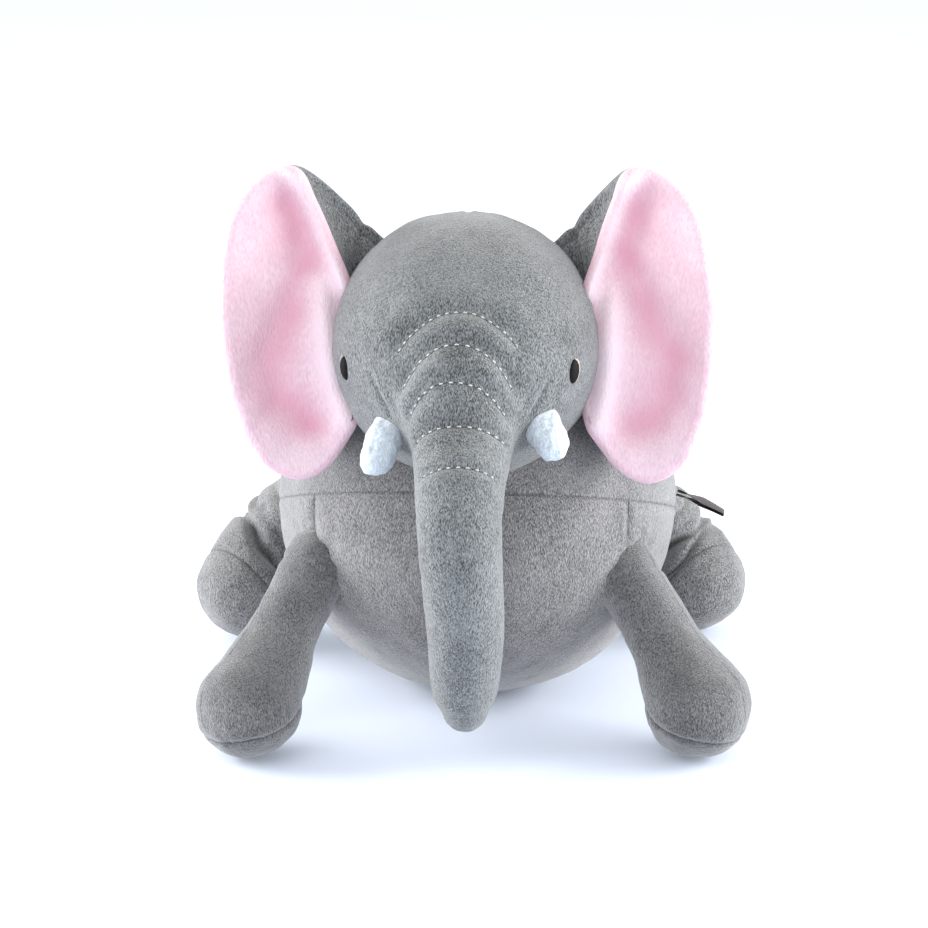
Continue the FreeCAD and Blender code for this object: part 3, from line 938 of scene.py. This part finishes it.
def dish(u, v):
    """How far forward the pink face lies."""
    cup = u**2 / (2 * EAR_CUP)
    hollow = -3.6 * bump(line_distance(u, v, HOLLOW_LINE), 8.5)
    fold = 4.2 * bump(line_distance(u, v, FOLD_LINE), 5.0)
    rolled = 4.6 * bump(line_distance(u, v, RIM_LINE), 3.8)
    return cup + hollow + fold + rolled


ROLL_RADIUS = 2.6  # of the rim, where the pink turns over to the back
PINK_RISE = 2.2  # how far the pink stands in front of the ear's middle surface
# How far the grey back shows past the pink's lower edge.
LOWER_BACK_SHIFT = {"left": np.array([0.0, -1.0, 0.3]), "right": np.array([0.7, -0.8, -0.5])}


def build_ear(side, sign):
    """A pink dish whose rim rolls over, and a grey funnel from the rim to the head."""
    outward, up, forward = ear_axes(side, sign)
    middle = np.array(EAR_MIDDLE[side])
    around, rings = 176, 50
    rim = closed_spline(EAR_RIM, around)

    def world(u, v, n):
        return middle + np.outer(u, outward) + np.outer(v, up) + np.outer(n, forward)

    def flat_place(u, v):
        """The face laid flat, so that its small lumps don't depend on its shape."""
        return np.stack([u, v, np.full(around, 7.0 * sign)], axis=1)

    def ripple(u, v):
        place = flat_place(u, v)
        return 0.6 * lumps(place, 17, 21) + 0.25 * lumps(place, 6, 22)

    # depth holds the pink face's painted shade, above 0, and painted sheen, below 0.
    vertices, depth, seam = [], [], []
    shares = np.sin(np.linspace(0, np.pi / 2, rings + 1))
    for share in shares:
        u, v = rim[:, 0] * share, rim[:, 1] * share
        vertices.extend(world(u, v, dish(u, v) + PINK_RISE + ripple(u, v)))
        depth.extend(ear_shade_and_sheen(u, v) + 0.09 * lumps(flat_place(u, v), 8, 25))
        seam.extend(np.zeros(around))
    tangent = np.roll(rim, -3, axis=0) - np.roll(rim, 3, axis=0)
    spread = unit_rows(np.stack([-tangent[:, 1], tangent[:, 0]], axis=1))
    spread *= np.sign((spread * rim).sum(axis=1).mean())
    edge = dish(rim[:, 0], rim[:, 1])
    turns = np.radians((20, 40, 60, 80, 100, 120, 140))
    for turn in turns:
        reach = ROLL_RADIUS * math.sin(turn)
        u, v = rim[:, 0] + spread[:, 0] * reach, rim[:, 1] + spread[:, 1] * reach
        drop = ROLL_RADIUS * (1 - math.cos(turn)) - PINK_RISE
        vertices.extend(world(u, v, edge + ripple(u, v) - drop))
        depth.extend(np.full(around, 0.15))
        # Painted shadow line where the lower rim turns over to the grey back.
        seam.extend(ease((-rim[:, 1] - 6) / 16) * ease((turn - 1.1) / 0.4))
    faces = ring_faces(len(shares) + len(turns), around, flip=sign > 0)
    front = make(f"ear_{side}_pink_plush", vertices, faces)
    # Painted shade and sheen for the pink face's colour.
    mark(front, "hollow", depth)
    # The painted shadow line along the lower rim.
    mark(front, "dark", seam)
    weld(front)
    back = build_ear_back(side, sign, rim, spread, edge, world, (outward, up, forward))
    for obj, material in ((front, PINK), (back, GREY)):
        thicken(obj, 1.0)
        dress(obj, material)
    hinge = joint_place(f"ear_{side}_flap")
    blend = ("head", f"ear_{side}", (hinge - outward * 3) * MM, (hinge + outward * 9) * MM)
    finish_piece(front, [f"ear_{side}_front"], "pink_plush", blend=blend, fill=0.4)
    nodes = [f"ear_{side}_back", f"ear_{side}_wadding"]
    finish_piece(back, nodes, "grey_plush", blend=blend, fill=0.4)


def ear_shade_and_sheen(u, v):
    """Painted shade and sheen on the pink face: above 0, painted shade in the hollow; below 0,
    painted sheen on the fold and the rolled rim, and paler towards the lower tip.
    """
    hollow = bump(line_distance(u, v, HOLLOW_LINE), 10.0)
    fold = bump(line_distance(u, v, FOLD_LINE), 5.5)
    rolled = bump(line_distance(u, v, RIM_LINE), 3.8)
    tip = ease((-v - 40) / 12)
    return 0.85 * hollow * (1 - 0.5 * tip) - 0.9 * fold - 1.0 * rolled - 0.3 * tip


def build_ear_back(side, sign, rim, spread, edge, world, axes):
    """The grey funnel: from behind the rolled rim to a slit on the head."""
    outward, up, forward = axes
    around, steps = len(rim), 40
    start = world(rim[:, 0] + spread[:, 0] * 1.4, rim[:, 1] + spread[:, 1] * 1.4, edge - 0.6)
    start = start + ease((-rim[:, 1] - 22) / 16)[:, None] * LOWER_BACK_SHIFT[side]
    top = unit(np.array(ROOT_TOP) * (sign, 1, 1))
    foot = unit(np.array(ROOT_FOOT[side]) * (sign, 1, 1))
    share = np.clip(0.5 - 0.5 * (rim[:, 1] / 62), 0.02, 0.98)
    spine = unit_rows(top * (1 - share[:, None]) + foot * share[:, None])
    behind = unit(np.cross(top, foot))
    behind = behind if behind[1] > 0 else -behind
    ahead = np.sign(rim[:, 0] + 8) * 2.6 * np.sin(share * np.pi)
    end = HEAD + spine * (HEAD_RADIUS - 2.0) + np.outer(ahead, behind)
    span = np.linalg.norm(end - start, axis=1)[:, None]
    outer = ease((rim[:, 0] + 14) / 26)[:, None]
    upper = ease((rim[:, 1] - 10) / 35)[:, None]
    leave = start - forward * span * 0.22 - outward * span * 0.22 * outer
    leave = leave + up * span * 0.16 * upper
    arrive = end + spine * span * 0.24 - up * span * 0.06 * upper
    points = []
    for t in np.linspace(0, 1, steps + 1):
        curve = (1 - t) ** 3 * start + 3 * t * (1 - t) ** 2 * leave
        curve = curve + 3 * t**2 * (1 - t) * arrive + t**3 * end
        ripple = 0.5 * lumps(curve, 14, 23) * math.sin(math.pi * t)
        crease = 1.6 * bump(np.full(around, t) - 0.72, 0.05) * upper[:, 0]
        points.extend(curve - forward * (ripple + crease)[:, None] - up * crease[:, None])
    faces = ring_faces(steps + 1, around, flip=sign > 0)
    return make(f"ear_{side}_grey_back", points, faces)


# ---- legs ----

# Each leg's middle line from its root: outward, back, up, radius.
FRONT_LINES = {
    "left": ((0.0, 0.5, 0.5, 12.8), (2.5, -4.0, -6.0, 13.6), (12.5, -17.5, -26.0, 14.4),
             (19.0, -26.5, -39.0, 18.2), (24.0, -35.0, -49.3, 21.8)),
    "right": ((-4.0, 0.5, 0.0, 12.8), (-1.0, -4.0, -6.5, 13.6), (12.5, -15.0, -25.5, 14.4),
              (20.5, -22.5, -38.0, 18.2), (26.5, -29.5, -48.0, 22.2)),
}
HIND_LINES = {
    "left": ((-4.0, -6.0, 4.0, 14.2), (5.0, 1.0, -2.5, 14.6), (21.5, 5.5, -17.0, 14.8),
             (30.5, 0.0, -31.0, 19.2), (35.5, -7.0, -44.5, 22.3)),
    "right": ((-4.0, -6.0, 4.0, 14.2), (4.0, 2.0, -3.0, 14.4), (18.0, 10.5, -18.0, 14.6),
              (27.0, 9.0, -32.0, 18.7), (33.0, 4.0, -45.0, 21.9)),
}
# Which way each sole faces, outward, back, up, and how far its seam is from the foot's middle.
SOLES = {"front": ((-0.22, 0.08, -0.95), 5.0), "hind": ((0.6, -0.7, -0.4), 1.0)}


def build_leg(kind, side, sign, lines, seed):
    name = f"{kind}_leg_{side}"
    root = joint_place(f"{name}_swing")
    line = np.array(lines[side]) * (sign, 1, 1, 1) + (*root, 0)
    knee, foot = line[-2, :3], line[-1, :3]
    direction, seam_offset = SOLES[kind]
    facing = unit(np.array(direction) * (sign, 1, 1))
    run = unit(foot - line[2, :3])
    skin = remesh(tube(f"{name}_skin", line), voxel=3.0)
    plump(skin, pressure=3.0, cap=1.2)
    refine(skin, levels=2)
    co, normal = read(skin), normals(skin)
    sole = (co - foot) @ facing - seam_offset
    co = co - facing[None, :] * (0.08 * np.maximum(sole, 0))[:, None]
    co = groove(co, normal, sole, 0.6, 1.0, puff=0.12)
    body_side = unit(BALL - root)
    seam_normal = unit(np.cross(run, body_side))
    seam = (co - knee) @ seam_normal
    inner_half = ease(((co - knee) @ np.cross(seam_normal, run)) / 4)
    above_sole = ease((-sole - 1) / 3)
    dark = np.zeros(len(co))
    # The lengthwise seam's groove, with a line of painted shade along it.
    co = groove(co, normal, seam, 0.8, 1.0, above_sole * inner_half, dark=dark)
    co = creases(co, normal, kind, root, line, seed, dark)
    co = co + normal * (0.35 * lumps(co, 13, seed) + 0.12 * lumps(co, 4.5, seed + 1))[:, None]
    co[:, 2] = np.maximum(co[:, 2], 0.0)
    write(skin, co)
    mark(skin, "dark", dark)
    point = foot + facing * seam_offset
    upper, below = (point, -facing), (point, facing)
    reach = unit(line[2, :3] - root)
    blend = ("torso", name, (root - reach * 4) * MM, (root + reach * 10) * MM)
    for part, keep, nodes in (
        ("outer", [upper, (knee, seam_normal)], [f"{name}_outer_panel", f"{name}_filling"]),
        ("inner", [upper, (knee, -seam_normal)], [f"{name}_inner_panel"]),
        ("sole", [below], [f"{name}_sole"]),
    ):
        material = LEG_GREY if kind == "front" else HIND_GREY
        piece = panel(skin, f"{name}_{part}_cloth", keep, material)
        moves = {"body": name} if part == "sole" else {"blend": blend}
        finish_piece(piece, nodes, "leg_plush", fill=0.85, **moves)
    bpy.data.objects.remove(skin)


# Folds at a hind ankle: distance from its middle, depth and half width.
ANKLE_FOLDS = ((-10, 1.4, 1.6), (-3, 2.2, 1.8), (5, 4.4, 2.4), (12.5, 2.4, 1.7))


def creases(co, normal, kind, root, line, seed, dark):
    """Folds in the cloth, each with painted shade in it: one round the shoulder of a front leg,
    several at a hind ankle.
    """
    if kind == "front":
        station = (co - root) @ unit(line[2, :3] - root) - 5.0 - 1.3 * lumps(co, 14, seed + 5)
        # Painted shade along the shoulder crease.
        return groove(co, normal, station, 1.1, 1.5, 0.6, dark=dark)
    ankle = line[2, :3]
    station = (co - ankle) @ unit(line[3, :3] - line[1, :3])
    for index, (offset, depth, width) in enumerate(ANKLE_FOLDS):
        wave = 4.2 * lumps(co, 19, seed + 10 + index)
        fade = np.clip(0.8 + 0.8 * lumps(co, 16, seed + 20 + index), 0, 1)
        fold = bump(station - offset - wave, width) * fade
        # Painted shade in each ankle fold, the deeper folds darker.
        np.maximum(dark, min(1.0, 0.3 * depth) * fold, out=dark)
        co = co - normal * (depth * fold)[:, None]
    return co + normal * (1.3 * bump(station - 2, 14))[:, None]


# ---- tail and label ----

TAIL_LINE = (
    (0, 80.0, 84.0, 4.4),
    (0, 86.5, 81.0, 4.5),
    (0, 93.5, 71.0, 4.1),
    (0, 97.0, 58.0, 3.9),
    (0, 97.5, 45.0, 3.7),
)
TUFT_TOP, TUFT_STRANDS = (0, 97.3, 44.0), 22


def build_tail():
    skin = remesh(tube("tail_skin", TAIL_LINE, stations=30, sides=24), voxel=1.3)
    plump(skin, pressure=2.0, cap=0.3)
    refine(skin, levels=1)
    co, normal = read(skin), normals(skin)
    co = co + normal * (0.2 * lumps(co, 5, 51))[:, None]
    write(skin, co)
    piece = panel(skin, "tail_cloth", [], GREY)
    bpy.data.objects.remove(skin)
    root = joint_place("tail_swing")
    blend = ("torso", "tail", (root + (0, -4, 2)) * MM, (root + (0, 4, -6)) * MM)
    finish_piece(piece, ["tail"], "grey_plush", blend=blend, fill=0.8)
    random = np.random.default_rng(5)
    vertices, faces = [], []
    for index in range(TUFT_STRANDS):
        turn = index * 2.4
        spread = 1.0 + 3.6 * math.sqrt((index + 0.5) / TUFT_STRANDS)
        side = np.array([math.cos(turn), 0.8 * math.sin(turn), 0])
        length = 13.5 + random.uniform(-1.5, 1.0)
        steps = np.linspace(0, 1, 7)[:, None]
        path = TUFT_TOP + side * (0.9 + spread * steps**0.8) * (1 - 0.45 * steps**3)
        path = path + np.array([0, 0, -1]) * length * steps
        strand(vertices, faces, path, 0.95, sides=7)
    tuft = make("tail_tuft_yarn", vertices, faces)
    dress(tuft, LEG_GREY)
    finish_piece(tuft, ["tail_tuft"], "grey_plush", body="tail")


# How far the label reaches, its width, and the radius of its fold.
LABEL_LENGTH, LABEL_WIDTH, LABEL_FOLD = 21.5, 16.0, 0.5
LABEL_INSIDE = 1.2  # how far its ends go into the seam
RIBBON_THICKNESS = 0.35
LABEL_DROOP, LABEL_SAG = math.radians(17), 2.2  # how it hangs, and bends further at its end
LABEL_GAPE = 0.4  # how much further apart each layer stands at the seam
LABEL_TWIST = math.radians(14)  # how far its rear edge is turned up, clear of the seam


def build_label():
    """A blank ribbon folded in two, with its ends in the seam."""
    root = joint_place("label_flap") - (LABEL_INSIDE, 0, 0)
    along = np.array([0, math.cos(CHEST_SEAM_TILT), -math.sin(CHEST_SEAM_TILT)])
    out = np.array([math.cos(LABEL_DROOP), 0, 0]) - math.sin(LABEL_DROOP) * chest_plane()[1]
    up = np.cross(out, along)
    straight = LABEL_LENGTH - LABEL_FOLD
    line = []
    for t in np.linspace(0, 1, 16):
        line.append((t * straight, LABEL_FOLD + LABEL_GAPE * (1 - t) ** 1.3))
    for angle in np.radians(np.linspace(75, -75, 9)):
        line.append((straight + LABEL_FOLD * math.cos(angle), LABEL_FOLD * math.sin(angle)))
    line += [(x, -z) for x, z in line[15::-1]]
    across = np.linspace(-0.5, 0.5, 9)
    vertices, faces = [], []
    for x, z in line:
        sag = -LABEL_SAG * (x / LABEL_LENGTH) ** 2
        turn = LABEL_TWIST * min(1.0, max(0.0, x - 3) / 8)
        width_way = along * math.cos(turn) + up * math.sin(turn)
        for w in across:
            warp = 0.5 * math.sin(3 * w + x / 7) * x / LABEL_LENGTH
            vertices.append(root + out * x + up * (z + sag + warp) + width_way * w * LABEL_WIDTH)
    for row in range(len(line) - 1):
        for column in range(len(across) - 1):
            a = row * len(across) + column
            faces.append((a, a + 1, a + 1 + len(across), a + len(across)))
    label = make("side_label_ribbon", vertices, faces)
    thicken(label, RIBBON_THICKNESS, offset=0)
    refine(label, levels=1)
    dress(label, RIBBON)
    finish_piece(label, ["side_label"], "brown_ribbon", body="label")


# ---- stage ----

FLOOR_REACH = 3000
# Each light: name, place, size, power in watts, colour. All of them face the belly ball.
LIGHTS = (
    ("key", (-400, -1000, 900), 900, 3.5, (1.0, 0.99, 0.98)),
    ("left_side", (-1000, 60, 360), 700, 18.5, (1.0, 0.99, 0.97)),
    ("right_side", (1000, 0, 360), 700, 18.0, (1.0, 0.99, 0.97)),
)
CAMERA_LENS, CAMERA_DISTANCE = 110.8, 1200.0
CAMERA_AZIMUTH, CAMERA_ELEVATION = math.radians(3), math.radians(20)
CAMERA_AIM = (-6.0, 4.2, 12.2)  # where the camera looks, from the middle of the ball


def build_stage():
    """A pale floor, a white surround, soft lights, and the camera."""
    scene = bpy.context.scene
    signs = ((-1, -1), (1, -1), (1, 1), (-1, 1))
    corners = [(x * FLOOR_REACH, y * FLOOR_REACH, 0) for x, y in signs]
    floor = make("floor", corners, [(0, 1, 2, 3)])
    n = Nodes("floor_paper")
    grain = n.noise(n.place, 60.0)
    n.rough(grain, 0.75, 0.85)
    paper = n.ramp(grain, (0.0, (0.73, 0.795, 0.92)), (1.0, (0.75, 0.815, 0.945)))
    floor.data.materials.append(n.finish(paper))
    world = bpy.data.worlds.new("studio")
    scene.world = world
    world.use_nodes = True
    background = world.node_tree.nodes["Background"]
    background.inputs["Color"].default_value = (0.98, 0.99, 1.0, 1)
    background.inputs["Strength"].default_value = 1.2
    for light in LIGHTS:
        area_light(*light)
    scene.view_settings.view_transform = "Standard"
    camera = bpy.data.cameras.new("camera")
    camera.lens, camera.sensor_width = CAMERA_LENS, 36.0
    camera.clip_end = 20
    holder = bpy.data.objects.new("camera", camera)
    scene.collection.objects.link(holder)
    level = math.cos(CAMERA_ELEVATION)
    back = np.array([math.sin(CAMERA_AZIMUTH) * level, -math.cos(CAMERA_AZIMUTH) * level,
                     math.sin(CAMERA_ELEVATION)])
    place = BALL + back * CAMERA_DISTANCE
    target = BALL + np.array(CAMERA_AIM)
    holder.location = Vector(place * MM)
    holder.rotation_euler = Vector((target - place)).to_track_quat("-Z", "Y").to_euler()
    scene.camera = holder


def area_light(name, place, size, power, colour):
    light = bpy.data.lights.new(name, "AREA")
    light.energy, light.size, light.color = power, size * MM, colour
    holder = bpy.data.objects.new(name, light)
    bpy.context.scene.collection.objects.link(holder)
    holder.location = Vector(np.array(place) * MM)
    aim = Vector(BALL) - Vector(place)
    holder.rotation_euler = aim.to_track_quat("-Z", "Y").to_euler()


build_stage()
build_body()
head_surface = build_head()
build_topstitching(head_surface)
build_eyes(head_surface)
build_tusks()
for side_name, side_sign in SIDES:
    build_ear(side_name, side_sign)
    build_leg("front", side_name, side_sign, FRONT_LINES, 60 + side_sign)
    build_leg("hind", side_name, side_sign, HIND_LINES, 80 + side_sign)
build_tail()
build_label()
